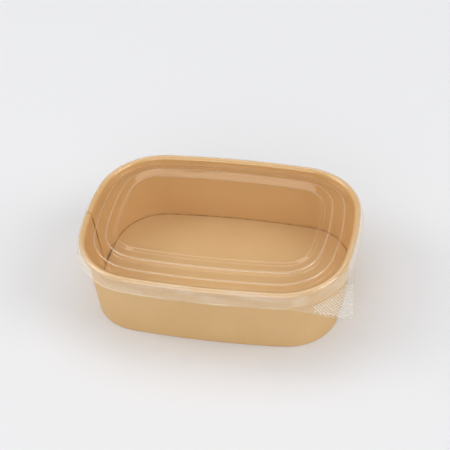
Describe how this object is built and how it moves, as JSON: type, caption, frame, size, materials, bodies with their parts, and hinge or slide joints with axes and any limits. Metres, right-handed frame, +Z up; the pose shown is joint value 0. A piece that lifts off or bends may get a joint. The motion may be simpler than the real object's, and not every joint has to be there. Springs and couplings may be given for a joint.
{
  "type": "paper food container",
  "caption": "Rounded rectangular kraft paper tub with a rolled rim and a clear snap-over lid with a peel tab.",
  "frame": {"origin": "on the table, under the middle of the closed container's bounding box", "axes": "+X along the length towards the end with the peel tab, +Y across the width, +Z up"},
  "size_m": [0.1804, 0.1271, 0.0542],
  "materials": {
    "kraft_wall": "matte",
    "kraft_bottom": "matte",
    "clear_lid": "clear gloss"
  },
  "bodies": {
    "tub": {"side_wall": "kraft_wall", "bottom_panel": "kraft_bottom"},
    "lid": {"lid": "clear_lid"}
  },
  "joints": [
    {"name": "lid_lift", "type": "slide", "parent": "tub", "child": "lid", "axis": [0, 0, 1], "range_m": [0, 0.06]}
  ]
}
